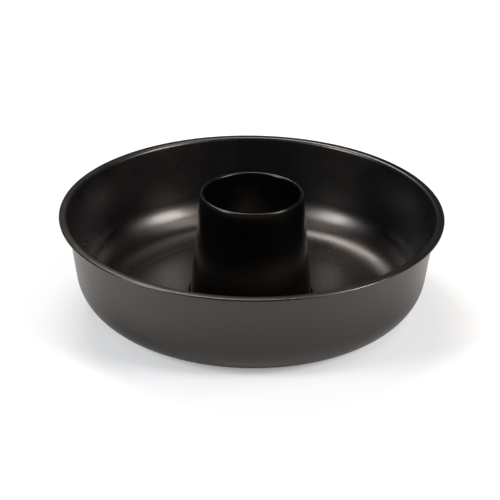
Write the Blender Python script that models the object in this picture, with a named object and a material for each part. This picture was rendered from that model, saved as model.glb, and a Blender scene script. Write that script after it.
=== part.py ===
"""Ring cake mould, 26 cm: a drawn sheet-metal shell and a tapered centre tube locked into its floor.

Both pieces are bent from one gauge of sheet, so each is modelled as a press would see it: the middle
line of the sheet is laid out as straight runs and bends, thickened to both sides and turned about Z.
Metres, +Z up, origin on the table under the middle of the mould.
"""
import math

import bmesh
import bpy
from mathutils import Matrix, Vector

# The sheet, and how round the turned pieces are
SHEET = 0.0006
STEPS_AROUND = 72

# Shell: rim and wall
RIM_RADIUS = 0.1300
RIM_HEIGHT = 0.0660
FLANGE_WIDTH = 0.0054
FLANGE_FALL = math.radians(3.0)
RIM_CURL_DIAMETER = 0.0022
RIM_BEND = 0.0020
WALL_TAPER = math.radians(7.4)

# Shell: floor
CORNER_RADIUS = 0.0280
FOOT_WIDTH = 0.0060
FLOOR_RISE = 0.0041
CROWN_BLEND = 0.0200
COLLAR_BEND = 0.0010

# Centre tube, by its outer skin
TUBE_FOOT_RADIUS = 0.0418
TUBE_TOP_RADIUS = 0.0348
TUBE_HEIGHT = 0.0789
SKIRT_BLEND = 0.0050
TUBE_CURL_DIAMETER = 0.0024

# How far the edge of the sheet is rolled round, in the rim's curl and in the tube's
CURL_TURN = math.radians(250.0)

# The joint where the two ends of the tube's curl meet, at the back right of the mould
NOTCH_WIDTH = 0.0012
NOTCH_DIRECTION = math.radians(33.0)
CUT_OVERRUN = 0.0010

# Lock seam that holds the tube in the floor
SEAM_CLEARANCE = 0.0003
SEAM_ABOVE_TABLE = 0.0007

# How finely bends are drawn: the most that one facet turns in a tight bend and in the wide corner
TIGHT_BEND_FACET = math.radians(36.0)
WIDE_BEND_FACET = math.radians(10.5)
WIDE_BEND_RADIUS = 0.0100
WELD_DISTANCE = 0.000001
ROUNDING = 0.001
SMOOTH_LIMIT = math.radians(50.0)

# Worked out from the sizes above
HALF_SHEET = SHEET / 2
SEAM_PITCH = SHEET + SEAM_CLEARANCE
SKIRT_RADIUS = TUBE_FOOT_RADIUS - HALF_SHEET
COLLAR_RADIUS = SKIRT_RADIUS + SEAM_PITCH
SEAM_TURN_HEIGHT = SEAM_ABOVE_TABLE + HALF_SHEET + SEAM_PITCH
SEAT_HEIGHT = HALF_SHEET + FLOOR_RISE
TUBE_CURL_CENTRE = Vector((TUBE_TOP_RADIUS - TUBE_CURL_DIAMETER / 2, TUBE_HEIGHT - TUBE_CURL_DIAMETER / 2))
ALONG_FLANGE = Vector((math.cos(FLANGE_FALL), -math.sin(FLANGE_FALL)))


def facet_turn(radius):
    """The largest angle that one facet of a bend of this radius may turn."""
    if radius < WIDE_BEND_RADIUS:
        return TIGHT_BEND_FACET
    return WIDE_BEND_FACET


def left_of(direction):
    """The unit direction to the left of a run."""
    return Vector((-direction.y, direction.x)).normalized()


def arc(centre, radius, start, turn):
    """The sheet's middle line along an arc: points, each with the direction to its left."""
    facets = max(1, math.ceil(abs(turn) / facet_turn(radius) - ROUNDING))
    angles = [start + turn * index / facets for index in range(facets + 1)]
    spokes = [Vector((math.cos(angle), math.sin(angle))) for angle in angles]
    side = -math.copysign(1.0, turn)
    return [(centre + radius * spoke, side * spoke) for spoke in spokes]


def bend_setback(before, corner, after, radius):
    """How far a bend of this radius starts before its corner."""
    turn = (corner - before).angle(after - corner)
    return radius * math.tan(turn / 2)


def bend(before, corner, after, radius):
    """The arc that rounds a corner of the sheet's middle line."""
    arriving = (corner - before).normalized()
    turn = -arriving.angle_signed((after - corner).normalized())
    entry = corner - arriving * bend_setback(before, corner, after, radius)
    spoke = -left_of(arriving) * math.copysign(1.0, turn)
    return arc(entry - radius * spoke, radius, math.atan2(spoke.y, spoke.x), turn)


def middle_line(corners):
    """The sheet's middle line: (point, bend radius) corners joined by straight runs and bends."""
    places = [place for place, _ in corners]
    line = [(places[0], left_of(places[1] - places[0]))]
    for index in range(1, len(corners) - 1):
        line += bend(*places[index - 1:index + 2], corners[index][1])
    line.append((places[-1], left_of(places[-1] - places[-2])))
    return line


def thicken(line):
    """The closed outline of a sheet that lies half its thickness to each side of the line."""
    left_skin = [point + left * HALF_SHEET for point, left in line]
    right_skin = [point - left * HALF_SHEET for point, left in line]
    return left_skin + right_skin[::-1]


def turned_mesh(name, outline):
    """One closed body: the outline of a sheet turned once about Z."""
    shape = bmesh.new()
    ring = [shape.verts.new((point.x, 0.0, point.y)) for point in outline]
    edges = [shape.edges.new((ring[index - 1], ring[index])) for index in range(len(ring))]
    bmesh.ops.spin(shape, geom=ring + edges, cent=(0, 0, 0), axis=(0, 0, 1), angle=math.tau,
                   steps=STEPS_AROUND, use_merge=True, use_duplicate=False)
    bmesh.ops.remove_doubles(shape, verts=shape.verts, dist=WELD_DISTANCE)
    bmesh.ops.recalc_face_normals(shape, faces=shape.faces)
    mesh = bpy.data.meshes.new(name)
    shape.to_mesh(mesh)
    shape.free()
    mesh.shade_smooth()
    mesh.set_sharp_from_angle(angle=SMOOTH_LIMIT)
    return mesh


def wall_top():
    """Where the middle lines of the flange and the wall cross, with the bend between them at rim height."""
    down_the_wall = Vector((-math.sin(WALL_TAPER), -math.cos(WALL_TAPER)))
    setback = RIM_BEND * math.tan((-ALONG_FLANGE).angle(down_the_wall) / 2)
    bend_centre_height = RIM_HEIGHT - HALF_SHEET - RIM_BEND
    return Vector((RIM_RADIUS - FLANGE_WIDTH - HALF_SHEET / math.cos(WALL_TAPER),
                   bend_centre_height + RIM_BEND * math.cos(FLANGE_FALL) + setback * math.sin(FLANGE_FALL)))


def rim_curl():
    """The rolled edge of the flange, from its free end under the flange round to the flange."""
    curl_radius = RIM_CURL_DIAMETER / 2 - HALF_SHEET
    square_up = left_of(ALONG_FLANGE)
    top_reach = RIM_RADIUS - RIM_CURL_DIAMETER / 2 + curl_radius * square_up.x
    flange_edge = wall_top() + ALONG_FLANGE * (top_reach - wall_top().x) / ALONG_FLANGE.x
    top = math.atan2(square_up.y, square_up.x)
    return arc(flange_edge - square_up * curl_radius, curl_radius, top - CURL_TURN, CURL_TURN)


def floor_corners():
    """The foot that stands on the table, the crown up to the tube and the collar round its hole."""
    corner_bend = CORNER_RADIUS - HALF_SHEET
    wall_run = (wall_top().y - HALF_SHEET) * math.tan(WALL_TAPER)
    wall_foot = Vector((wall_top().x - wall_run, HALF_SHEET))
    foot_outer = wall_foot.x - corner_bend * math.tan((math.pi / 2 - WALL_TAPER) / 2)
    crown_start = Vector((foot_outer - FOOT_WIDTH, HALF_SHEET))
    seat = Vector((COLLAR_RADIUS, SEAT_HEIGHT))
    collar_end = Vector((COLLAR_RADIUS, SEAM_TURN_HEIGHT))
    return [(wall_foot, corner_bend), (crown_start, CROWN_BLEND), (seat, COLLAR_BEND), (collar_end, 0.0)]


def shell_line():
    """The middle line of the shell: rim curl, flange, wall, corner, floor and collar."""
    curl = rim_curl()
    flange_edge, _ = curl[-1]
    return curl[:-1] + middle_line([(flange_edge, 0.0), (wall_top(), RIM_BEND)] + floor_corners())


def seam_leg_height():
    """Where the tube's turned-up leg ends: level with the start of the collar's bend."""
    crown_start, seat, collar_end = [corner for corner, _ in floor_corners()[-3:]]
    return SEAT_HEIGHT - bend_setback(crown_start, seat, collar_end, COLLAR_BEND)


def tube_line():
    """The middle line of the tube: seam leg, turn under the collar, skirt, tapered wall and curl."""
    turn_bottom = SEAM_TURN_HEIGHT - SEAM_PITCH
    skirt_top = Vector((SKIRT_RADIUS, SEAT_HEIGHT))
    curl_radius = TUBE_CURL_DIAMETER / 2 - HALF_SHEET
    to_curl = TUBE_CURL_CENTRE - skirt_top
    wall_angle = math.atan2(to_curl.y, to_curl.x) - math.asin(curl_radius / to_curl.length)
    wall_length = math.sqrt(to_curl.length_squared - curl_radius ** 2)
    curl_start = skirt_top + wall_length * Vector((math.cos(wall_angle), math.sin(wall_angle)))
    below_curl = middle_line([
        (Vector((COLLAR_RADIUS + SEAM_PITCH, seam_leg_height())), 0.0),
        (Vector((COLLAR_RADIUS + SEAM_PITCH, turn_bottom)), SEAM_PITCH),
        (Vector((SKIRT_RADIUS, turn_bottom)), SEAM_PITCH),
        (skirt_top, SKIRT_BLEND),
        (curl_start, 0.0)])
    return below_curl[:-1] + arc(TUBE_CURL_CENTRE, curl_radius, wall_angle - math.pi / 2, CURL_TURN)


def black_coating(name, colour, roughness):
    """Non-stick coating: a warm black, a little glossy."""
    material = bpy.data.materials.new(name)
    material.use_nodes = True
    material.diffuse_color = (*colour, 1.0)
    shader = material.node_tree.nodes["Principled BSDF"]
    shader.inputs["Base Color"].default_value = (*colour, 1.0)
    shader.inputs["Roughness"].default_value = roughness
    shader.inputs["Metallic"].default_value = 0.0
    return material


def put_in_scene(name, mesh, material=None):
    """Puts a mesh in the scene as a named object."""
    piece = bpy.data.objects.new(name, mesh)
    bpy.context.collection.objects.link(piece)
    if material is not None:
        mesh.materials.append(material)
    return piece


def curl_notch_cutter():
    """The open joint in the inner half of the tube's curl."""
    cut_depth = TUBE_CURL_DIAMETER / 2 + CUT_OVERRUN
    cut_height = TUBE_CURL_DIAMETER + 2 * CUT_OVERRUN
    size = Matrix.Diagonal((cut_depth, NOTCH_WIDTH, cut_height, 1.0))
    middle = Matrix.Translation((TUBE_CURL_CENTRE.x - cut_depth / 2, 0.0, TUBE_CURL_CENTRE.y))
    shape = bmesh.new()
    bmesh.ops.create_cube(shape, size=1.0, matrix=middle @ size)
    mesh = bpy.data.meshes.new("curl_notch_cutter")
    shape.to_mesh(mesh)
    shape.free()
    cutter = put_in_scene("curl_notch_cutter", mesh)
    cutter.rotation_euler.z = NOTCH_DIRECTION
    cutter.hide_render = True
    cutter.display_type = "WIRE"
    return cutter


def build_mould_shell():
    """Drawn shell with its rolled rim flange, tapered wall, rounded corner and crowned floor."""
    outline = thicken(shell_line())
    coating = black_coating("shell_coating", (0.020, 0.018, 0.016), 0.30)
    return put_in_scene("mould_shell", turned_mesh("mould_shell", outline), coating)


def build_centre_tube():
    """Tapered tube with a curled lip, folded round the floor's collar at its foot."""
    outline = thicken(tube_line())
    coating = black_coating("tube_coating", (0.014, 0.013, 0.012), 0.32)
    tube = put_in_scene("centre_tube", turned_mesh("centre_tube", outline), coating)
    notch = tube.modifiers.new("curl_notch", "BOOLEAN")
    notch.operation = "DIFFERENCE"
    notch.solver = "EXACT"
    notch.object = curl_notch_cutter()
    return tube


def clear_scene():
    """Removes whatever the scene holds."""
    for thing in list(bpy.data.objects):
        bpy.data.objects.remove(thing, do_unlink=True)


clear_scene()
build_mould_shell()
build_centre_tube()
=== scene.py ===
"""Looks of the ring cake mould: fine turned sheet-metal pieces, their black coating, and a plain studio."""
import math

import bmesh
import bpy
from mathutils import Matrix, Vector


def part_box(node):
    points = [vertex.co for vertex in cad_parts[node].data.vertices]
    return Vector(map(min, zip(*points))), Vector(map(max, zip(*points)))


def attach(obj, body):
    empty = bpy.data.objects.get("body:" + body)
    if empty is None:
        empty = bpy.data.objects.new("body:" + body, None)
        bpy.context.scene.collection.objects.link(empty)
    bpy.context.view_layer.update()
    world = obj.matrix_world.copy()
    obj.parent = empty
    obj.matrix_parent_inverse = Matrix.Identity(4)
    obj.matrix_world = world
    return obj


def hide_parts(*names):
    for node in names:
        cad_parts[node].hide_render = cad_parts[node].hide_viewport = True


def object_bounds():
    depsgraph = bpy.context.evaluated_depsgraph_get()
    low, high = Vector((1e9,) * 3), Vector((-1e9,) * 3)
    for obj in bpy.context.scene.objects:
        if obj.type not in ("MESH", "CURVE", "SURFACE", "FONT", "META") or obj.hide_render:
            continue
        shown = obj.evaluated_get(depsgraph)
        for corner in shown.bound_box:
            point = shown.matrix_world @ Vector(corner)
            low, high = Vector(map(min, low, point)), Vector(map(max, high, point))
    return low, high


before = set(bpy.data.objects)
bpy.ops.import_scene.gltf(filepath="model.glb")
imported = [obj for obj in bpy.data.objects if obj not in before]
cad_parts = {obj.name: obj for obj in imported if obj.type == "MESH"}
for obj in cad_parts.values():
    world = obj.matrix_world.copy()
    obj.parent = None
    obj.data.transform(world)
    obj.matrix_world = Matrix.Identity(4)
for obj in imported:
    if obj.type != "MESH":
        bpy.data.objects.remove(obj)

cad_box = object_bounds()

# Sheet-metal sizes that the frame's boxes don't give, in metres, as in the part's own source
SHEET = 0.0006
FLANGE_WIDTH = 0.0054
FLANGE_FALL = math.radians(3.0)
RIM_CURL_DIAMETER = 0.0022
RIM_BEND = 0.0020
WALL_TAPER = math.radians(7.4)
CORNER_RADIUS = 0.0280
FOOT_WIDTH = 0.0060
FLOOR_RISE = 0.0041
CROWN_BLEND = 0.0200
COLLAR_BEND = 0.0010
TUBE_TOP_RADIUS = 0.0348
SKIRT_BLEND = 0.0050
TUBE_CURL_DIAMETER = 0.0024
CURL_TURN = math.radians(250.0)
NOTCH_WIDTH = 0.0012
NOTCH_DIRECTION = math.radians(33.0)
NOTCH_OVERRUN = 0.0010
SEAM_CLEARANCE = 0.0003

# Sizes read from the frame
shell_low, shell_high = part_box("mould_shell")
tube_low, tube_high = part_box("centre_tube")
RIM_RADIUS = shell_high.x
RIM_HEIGHT = shell_high.z
TUBE_HEIGHT = tube_high.z
HALF_SHEET = SHEET / 2
SEAM_PITCH = SHEET + SEAM_CLEARANCE
COLLAR_RADIUS = tube_high.x - HALF_SHEET - SEAM_PITCH
SKIRT_RADIUS = COLLAR_RADIUS - SEAM_PITCH
SEAM_TURN_HEIGHT = tube_low.z + HALF_SHEET + SEAM_PITCH
SEAT_HEIGHT = HALF_SHEET + FLOOR_RISE
TUBE_CURL_CENTRE = Vector((TUBE_TOP_RADIUS - TUBE_CURL_DIAMETER / 2, TUBE_HEIGHT - TUBE_CURL_DIAMETER / 2))
ALONG_FLANGE = Vector((math.cos(FLANGE_FALL), -math.sin(FLANGE_FALL)))

# Fineness of the turned meshes
STEPS_AROUND = 320
TIGHT_BEND_FACET = math.radians(12.0)
WIDE_BEND_FACET = math.radians(2.5)
WIDE_BEND_RADIUS = 0.0040
LONGEST_RUN = 0.0040
WELD_DISTANCE = 0.000001
SMOOTH_LIMIT = math.radians(40.0)

# Coatings: colours of the dark and light flecks, roughness, and refractive index
COATING_TINT = (1.0, 0.865, 0.765, 1.0)
ROUGHNESS_SWING = 0.03
SHELL_FINISH = ((0.0024, 0.0023, 0.0021), (0.0058, 0.0055, 0.0050), 0.29, 1.66)
TUBE_FINISH = ((0.0006, 0.0006, 0.0005), (0.0014, 0.0014, 0.0013), 0.25, 1.46)

# Studio floor: how much it is lifted to white, and between which distances from the axis the lift sets in.
# The lift fades to nothing towards the mould, which paints shade on the floor under and round it, out to a
# wider ring in reflections
FLOOR_HALF_WIDTH = 30.0
FLOOR_COLOUR = (0.630, 0.600, 0.570, 1.0)
WHITE = (1.0, 1.0, 1.0, 1.0)
LIFT_START = 0.085
SEEN_LIFT = 0.36
SEEN_PAINTED_SHADE_END = 0.105
MIRRORED_LIFT = 0.24
MIRRORED_PAINTED_SHADE_END = 0.20
FAR_LIFT = 0.7
FAR_LIFT_START = 0.4
FAR_LIFT_END = 1.4

# Softboxes: azimuth (0 towards the viewer, 90 to the right), elevation, width, height, radiance and colour
NEUTRAL = (1.0, 1.0, 1.0)
SOFTBOXES = {
    "right_softbox": (66.0, 31.0, 0.54, 0.66, 15.5, (0.90, 0.94, 1.0)),
    "left_softbox": (-64.0, 31.0, 0.48, 0.74, 13.2, (0.82, 0.90, 1.0)),
    "back_softbox_outer": (-140.0, 57.0, 0.40, 0.40, 3.1, NEUTRAL),
    "back_softbox_left": (-155.0, 56.0, 0.45, 0.80, 6.8, NEUTRAL),
    "back_softbox_middle": (180.0, 62.0, 0.50, 0.50, 5.5, NEUTRAL),
    "high_softbox_left": (-80.0, 60.0, 0.60, 0.60, 1.2, NEUTRAL),
    "high_softbox_right": (75.0, 60.0, 0.60, 0.60, 3.2, NEUTRAL),
}
SOFTBOX_DISTANCE = 1.6
POWER_PER_RADIANCE_AND_AREA = 4
ROOM_LIGHT = 0.03

# Camera, at the photograph's viewing angle
CAMERA_AIM = Vector((-0.00087, 0.0, 0.03563))
CAMERA_DISTANCE = 1.2554
CAMERA_ELEVATION = math.radians(26.5)
CAMERA_ROLL = math.radians(0.72)
CAMERA_LENS = 132.33
CAMERA_SENSOR = 36.0


def left_of(direction):
    """The unit direction to the left of a run."""
    return Vector((-direction.y, direction.x)).normalized()


def arc(centre, radius, start, turn):
    """The sheet's middle line along an arc: points, each with the direction to its left."""
    facet = TIGHT_BEND_FACET if radius < WIDE_BEND_RADIUS else WIDE_BEND_FACET
    facets = max(1, math.ceil(abs(turn) / facet))
    angles = [start + turn * index / facets for index in range(facets + 1)]
    spokes = [Vector((math.cos(angle), math.sin(angle))) for angle in angles]
    side = -math.copysign(1.0, turn)
    return [(centre + radius * spoke, side * spoke) for spoke in spokes]


def bend_setback(before, corner, after, radius):
    """How far a bend of this radius starts before its corner."""
    turn = (corner - before).angle(after - corner)
    return radius * math.tan(turn / 2)


def bend(before, corner, after, radius):
    """The arc that rounds a corner of the sheet's middle line."""
    arriving = (corner - before).normalized()
    turn = -arriving.angle_signed((after - corner).normalized())
    entry = corner - arriving * bend_setback(before, corner, after, radius)
    spoke = -left_of(arriving) * math.copysign(1.0, turn)
    return arc(entry - radius * spoke, radius, math.atan2(spoke.y, spoke.x), turn)


def middle_line(corners):
    """The sheet's middle line: (point, bend radius) corners joined by straight runs and bends."""
    places = [place for place, _ in corners]
    line = [(places[0], left_of(places[1] - places[0]))]
    for index in range(1, len(corners) - 1):
        line += bend(*places[index - 1:index + 2], corners[index][1])
    line.append((places[-1], left_of(places[-1] - places[-2])))
    return line


def split_long_runs(line):
    """Adds points along straight runs, so that no facet is much longer than the rest."""
    finer = [line[0]]
    for (before, _), (place, left) in zip(line, line[1:]):
        cuts = max(1, math.ceil((place - before).length / LONGEST_RUN))
        finer += [(before.lerp(place, index / cuts), left) for index in range(1, cuts)]
        finer.append((place, left))
    return finer


def thicken(line):
    """The closed outline of a sheet that lies half its thickness to each side of the line."""
    left_skin = [point + left * HALF_SHEET for point, left in line]
    right_skin = [point - left * HALF_SHEET for point, left in line]
    return left_skin + right_skin[::-1]


def turned_mesh(name, outline):
    """One closed body: the outline of a sheet turned once about Z."""
    shape = bmesh.new()
    ring = [shape.verts.new((point.x, 0.0, point.y)) for point in outline]
    edges = [shape.edges.new((ring[index - 1], ring[index])) for index in range(len(ring))]
    bmesh.ops.spin(shape, geom=ring + edges, cent=(0, 0, 0), axis=(0, 0, 1), angle=math.tau,
                   steps=STEPS_AROUND, use_merge=True, use_duplicate=False)
    bmesh.ops.remove_doubles(shape, verts=shape.verts, dist=WELD_DISTANCE)
    bmesh.ops.recalc_face_normals(shape, faces=shape.faces)
    mesh = bpy.data.meshes.new(name)
    shape.to_mesh(mesh)
    shape.free()
    mesh.shade_smooth()
    mesh.set_sharp_from_angle(angle=SMOOTH_LIMIT)
    return mesh


def wall_top():
    """Where the middle lines of the flange and the wall cross, with the bend between them at rim height."""
    down_the_wall = Vector((-math.sin(WALL_TAPER), -math.cos(WALL_TAPER)))
    setback = RIM_BEND * math.tan((-ALONG_FLANGE).angle(down_the_wall) / 2)
    bend_centre_height = RIM_HEIGHT - HALF_SHEET - RIM_BEND
    return Vector((RIM_RADIUS - FLANGE_WIDTH - HALF_SHEET / math.cos(WALL_TAPER),
                   bend_centre_height + RIM_BEND * math.cos(FLANGE_FALL) + setback * math.sin(FLANGE_FALL)))


def rim_curl():
    """The rolled edge of the flange, from its free end under the flange round to the flange."""
    curl_radius = RIM_CURL_DIAMETER / 2 - HALF_SHEET
    square_up = left_of(ALONG_FLANGE)
    top_reach = RIM_RADIUS - RIM_CURL_DIAMETER / 2 + curl_radius * square_up.x
    flange_edge = wall_top() + ALONG_FLANGE * (top_reach - wall_top().x) / ALONG_FLANGE.x
    top = math.atan2(square_up.y, square_up.x)
    return arc(flange_edge - square_up * curl_radius, curl_radius, top - CURL_TURN, CURL_TURN)


def floor_corners():
    """The foot that stands on the table, the crown up to the tube and the collar round its hole."""
    corner_bend = CORNER_RADIUS - HALF_SHEET
    wall_run = (wall_top().y - HALF_SHEET) * math.tan(WALL_TAPER)
    wall_foot = Vector((wall_top().x - wall_run, HALF_SHEET))
    foot_outer = wall_foot.x - corner_bend * math.tan((math.pi / 2 - WALL_TAPER) / 2)
    crown_start = Vector((foot_outer - FOOT_WIDTH, HALF_SHEET))
    seat = Vector((COLLAR_RADIUS, SEAT_HEIGHT))
    collar_end = Vector((COLLAR_RADIUS, SEAM_TURN_HEIGHT))
    return [(wall_foot, corner_bend), (crown_start, CROWN_BLEND), (seat, COLLAR_BEND), (collar_end, 0.0)]


def shell_line():
    """The middle line of the shell: rim curl, flange, wall, corner, floor and collar."""
    curl = rim_curl()
    flange_edge, _ = curl[-1]
    return curl[:-1] + middle_line([(flange_edge, 0.0), (wall_top(), RIM_BEND)] + floor_corners())


def tube_line():
    """The middle line of the tube: seam leg, turn under the collar, skirt, tapered wall and curl."""
    crown_start, seat, collar_end = [corner for corner, _ in floor_corners()[-3:]]
    leg_height = SEAT_HEIGHT - bend_setback(crown_start, seat, collar_end, COLLAR_BEND)
    turn_bottom = SEAM_TURN_HEIGHT - SEAM_PITCH
    skirt_top = Vector((SKIRT_RADIUS, SEAT_HEIGHT))
    curl_radius = TUBE_CURL_DIAMETER / 2 - HALF_SHEET
    to_curl = TUBE_CURL_CENTRE - skirt_top
    wall_angle = math.atan2(to_curl.y, to_curl.x) - math.asin(curl_radius / to_curl.length)
    wall_length = math.sqrt(to_curl.length_squared - curl_radius ** 2)
    curl_start = skirt_top + wall_length * Vector((math.cos(wall_angle), math.sin(wall_angle)))
    below_curl = middle_line([
        (Vector((COLLAR_RADIUS + SEAM_PITCH, leg_height)), 0.0),
        (Vector((COLLAR_RADIUS + SEAM_PITCH, turn_bottom)), SEAM_PITCH),
        (Vector((SKIRT_RADIUS, turn_bottom)), SEAM_PITCH),
        (skirt_top, SKIRT_BLEND),
        (curl_start, 0.0)])
    return below_curl[:-1] + arc(TUBE_CURL_CENTRE, curl_radius, wall_angle - math.pi / 2, CURL_TURN)


def add_object(name, mesh, material=None):
    """Puts a mesh in the scene as a named object."""
    piece = bpy.data.objects.new(name, mesh)
    bpy.context.scene.collection.objects.link(piece)
    if material is not None:
        mesh.materials.append(material)
    return piece


def cut_curl_notch(tube):
    """Cuts the open joint into the inner half of the curl."""
    cut_depth = TUBE_CURL_DIAMETER / 2 + NOTCH_OVERRUN
    cut_height = TUBE_CURL_DIAMETER + 2 * NOTCH_OVERRUN
    size = Matrix.Diagonal((cut_depth, NOTCH_WIDTH, cut_height, 1.0))
    middle = Matrix.Translation((TUBE_CURL_CENTRE.x - cut_depth / 2, 0.0, TUBE_CURL_CENTRE.y))
    shape = bmesh.new()
    bmesh.ops.create_cube(shape, size=1.0, matrix=Matrix.Rotation(NOTCH_DIRECTION, 4, "Z") @ middle @ size)
    mesh = bpy.data.meshes.new("notch_cutter")
    shape.to_mesh(mesh)
    shape.free()
    cutter = add_object("notch_cutter", mesh)
    notch = tube.modifiers.new("notch", "BOOLEAN")
    notch.operation = "DIFFERENCE"
    notch.solver = "EXACT"
    notch.object = cutter
    bpy.context.view_layer.update()
    shown = tube.evaluated_get(bpy.context.evaluated_depsgraph_get())
    cut_mesh = bpy.data.meshes.new_from_object(shown)
    tube.modifiers.clear()
    tube.data = cut_mesh
    bpy.data.objects.remove(cutter, do_unlink=True)


class NodeMaterial:
    """A node material, with short calls to add and join its nodes."""

    def __init__(self, name):
        self.material = bpy.data.materials.new(name)
        self.material.use_nodes = True
        self.nodes = self.material.node_tree.nodes
        self.links = self.material.node_tree.links
        self.shader = self.nodes["Principled BSDF"]

    def add(self, kind, **settings):
        """Adds a node. Settings named in_X set its input socket X, the rest its own properties."""
        node = self.nodes.new(kind)
        for name, value in settings.items():
            if name.startswith("in_"):
                node.inputs[name[3:].replace("_", " ")].default_value = value
            else:
                setattr(node, name, value)
        return node

    def join(self, source, target):
        """Links an output socket to an input socket."""
        self.links.new(source, target)

    def ramp(self, value, **settings):
        """Maps a value from one range to another, and gives the result's socket."""
        node = self.add("ShaderNodeMapRange", **settings)
        self.join(value, node.inputs["Value"])
        return node.outputs["Result"]

    def maths(self, operation, first, second):
        """Combines two values, and gives the result's socket."""
        node = self.add("ShaderNodeMath", operation=operation)
        self.join(first, node.inputs[0])
        self.join(second, node.inputs[1])
        return node.outputs[0]


def coating(name, dark, light, roughness, index):
    """Baked-on non-stick coating: warm black, finely speckled, with an orange-peel surface."""
    made = NodeMaterial(name)
    shader = made.shader
    shader.inputs["Metallic"].default_value = 0.0
    shader.inputs["IOR"].default_value = index
    shader.inputs["Specular Tint"].default_value = COATING_TINT

    place = made.add("ShaderNodeTexCoord")
    fleck = made.add("ShaderNodeTexNoise", in_Scale=1800.0, in_Detail=3.0, in_Roughness=0.6)
    patch = made.add("ShaderNodeTexNoise", in_Scale=45.0, in_Detail=4.0, in_Roughness=0.55)
    peel = made.add("ShaderNodeTexNoise", in_Scale=900.0, in_Detail=2.0, in_Roughness=0.5)
    for texture in (fleck, patch, peel):
        made.join(place.outputs["Object"], texture.inputs["Vector"])

    colour = made.add("ShaderNodeMix", data_type="RGBA")
    colour.inputs["A"].default_value = (*dark, 1.0)
    colour.inputs["B"].default_value = (*light, 1.0)
    tone = made.ramp(fleck.outputs["Fac"], in_From_Min=0.35, in_From_Max=0.75)
    made.join(tone, colour.inputs["Factor"])
    made.join(colour.outputs["Result"], shader.inputs["Base Color"])

    gloss = made.ramp(patch.outputs["Fac"], in_From_Min=0.3, in_From_Max=0.7,
                      in_To_Min=roughness - ROUGHNESS_SWING, in_To_Max=roughness + ROUGHNESS_SWING)
    made.join(gloss, shader.inputs["Roughness"])

    bump = made.add("ShaderNodeBump", in_Strength=0.25, in_Distance=0.00002)
    made.join(peel.outputs["Fac"], bump.inputs["Height"])
    made.join(bump.outputs["Normal"], shader.inputs["Normal"])
    return made.material


def make_shell():
    """The drawn shell."""
    outline = thicken(split_long_runs(shell_line()))
    finish = coating("shell_coating", *SHELL_FINISH)
    shell = add_object("coated_shell", turned_mesh("coated_shell", outline), finish)
    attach(shell, "root")
    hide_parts("mould_shell")


def make_tube():
    """The centre tube, with the open joint in its curl."""
    outline = thicken(split_long_runs(tube_line()))
    finish = coating("tube_coating", *TUBE_FINISH)
    tube = add_object("coated_tube", turned_mesh("coated_tube", outline), finish)
    cut_curl_notch(tube)
    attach(tube, "root")
    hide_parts("centre_tube")


def floor_material():
    """Plain pale floor, lifted to white for the camera and in reflections but not under the mould; the lift
    fades in past the mould's foot, which paints shade round it, out to a wider ring in reflections.
    """
    made = NodeMaterial("pale_floor")
    shader = made.shader
    shader.inputs["Base Color"].default_value = FLOOR_COLOUR
    shader.inputs["Roughness"].default_value = 1.0
    shader.inputs["Specular IOR Level"].default_value = 0.0
    shader.inputs["Emission Color"].default_value = WHITE

    place = made.add("ShaderNodeTexCoord")
    reach = made.add("ShaderNodeVectorMath", operation="LENGTH")
    made.join(place.outputs["Object"], reach.inputs[0])
    from_axis = reach.outputs["Value"]
    # Painted shade: no lift under the mould or in the tube's bore, fading in just past the foot, so the
    # floor there stays darker
    seen_lift_round_painted_shade = made.ramp(from_axis, interpolation_type="SMOOTHSTEP", in_From_Min=LIFT_START,
                     in_From_Max=SEEN_PAINTED_SHADE_END, in_To_Max=SEEN_LIFT)
    far = made.ramp(from_axis, in_From_Min=FAR_LIFT_START, in_From_Max=FAR_LIFT_END, in_To_Max=FAR_LIFT)
    # Painted shade in reflections: the mirrored lift reaches full strength only 0.20 m from the axis,
    # darkening the floor that the mould's wall reflects near its foot
    mirrored_lift_round_painted_shade = made.ramp(from_axis, interpolation_type="SMOOTHSTEP", in_From_Min=LIFT_START,
                          in_From_Max=MIRRORED_PAINTED_SHADE_END, in_To_Max=MIRRORED_LIFT)

    rays = made.add("ShaderNodeLightPath").outputs
    seen = made.maths("MULTIPLY", rays["Is Camera Ray"], made.maths("ADD", seen_lift_round_painted_shade, far))
    mirrored = made.maths("MAXIMUM", rays["Is Glossy Ray"], rays["Is Transmission Ray"])
    reflected = made.maths("MULTIPLY", mirrored, mirrored_lift_round_painted_shade)
    made.join(made.maths("ADD", seen, reflected), shader.inputs["Emission Strength"])
    return made.material


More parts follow.
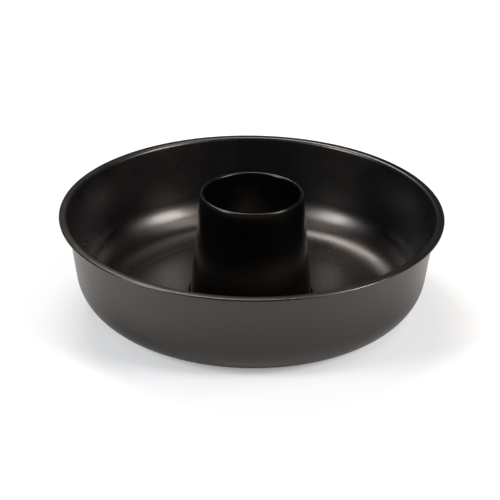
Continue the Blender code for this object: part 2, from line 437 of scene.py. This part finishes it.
def make_floor():
    """A floor wide enough to fill the background of every view from above."""
    shape = bmesh.new()
    bmesh.ops.create_grid(shape, x_segments=1, y_segments=1, size=FLOOR_HALF_WIDTH)
    mesh = bpy.data.meshes.new("floor")
    shape.to_mesh(mesh)
    shape.free()
    floor = add_object("floor", mesh, floor_material())
    floor.location.z = cad_box[0].z


def direction(azimuth, elevation):
    """A unit direction. Azimuth 0 is towards the viewer, 90 to the viewer's right; degrees."""
    turn = math.radians(azimuth)
    lift = math.radians(elevation)
    return Vector((math.sin(turn) * math.cos(lift), -math.cos(turn) * math.cos(lift), math.sin(lift)))


def softbox(name, azimuth, elevation, width, height, radiance, colour):
    """A rectangular softbox that faces the mould, of this radiance."""
    lamp = bpy.data.lights.new(name, "AREA")
    lamp.shape = "RECTANGLE"
    lamp.size = width
    lamp.size_y = height
    lamp.color = colour
    lamp.energy = radiance * POWER_PER_RADIANCE_AND_AREA * width * height
    box = bpy.data.objects.new(name, lamp)
    bpy.context.scene.collection.objects.link(box)
    facing = direction(azimuth, elevation)
    box.location = facing * SOFTBOX_DISTANCE + Vector((0.0, 0.0, RIM_HEIGHT / 2))
    box.rotation_mode = "QUATERNION"
    box.rotation_quaternion = facing.to_track_quat("Z", "Y")


def make_studio():
    """A large softbox on each side, three high behind, two weak ones above, and a dim room."""
    for name, values in SOFTBOXES.items():
        softbox(name, *values)
    world = bpy.data.worlds.new("room")
    world.use_nodes = True
    background = world.node_tree.nodes["Background"]
    background.inputs["Color"].default_value = WHITE
    background.inputs["Strength"].default_value = ROOM_LIGHT
    bpy.context.scene.world = world


def make_camera():
    """The camera, rolled very slightly as in the photograph."""
    data = bpy.data.cameras.new("camera")
    data.lens = CAMERA_LENS
    data.sensor_width = CAMERA_SENSOR
    camera = bpy.data.objects.new("camera", data)
    bpy.context.scene.collection.objects.link(camera)
    back = direction(0.0, math.degrees(CAMERA_ELEVATION))
    upright = back.to_track_quat("Z", "Y").to_matrix()
    rolled = upright @ Matrix.Rotation(CAMERA_ROLL, 3, "Z")
    placed = rolled.to_4x4()
    placed.translation = CAMERA_AIM + back * CAMERA_DISTANCE
    camera.matrix_world = placed
    bpy.context.scene.camera = camera


make_shell()
make_tube()
make_floor()
make_studio()
make_camera()
bpy.context.scene.view_settings.view_transform = "Standard"
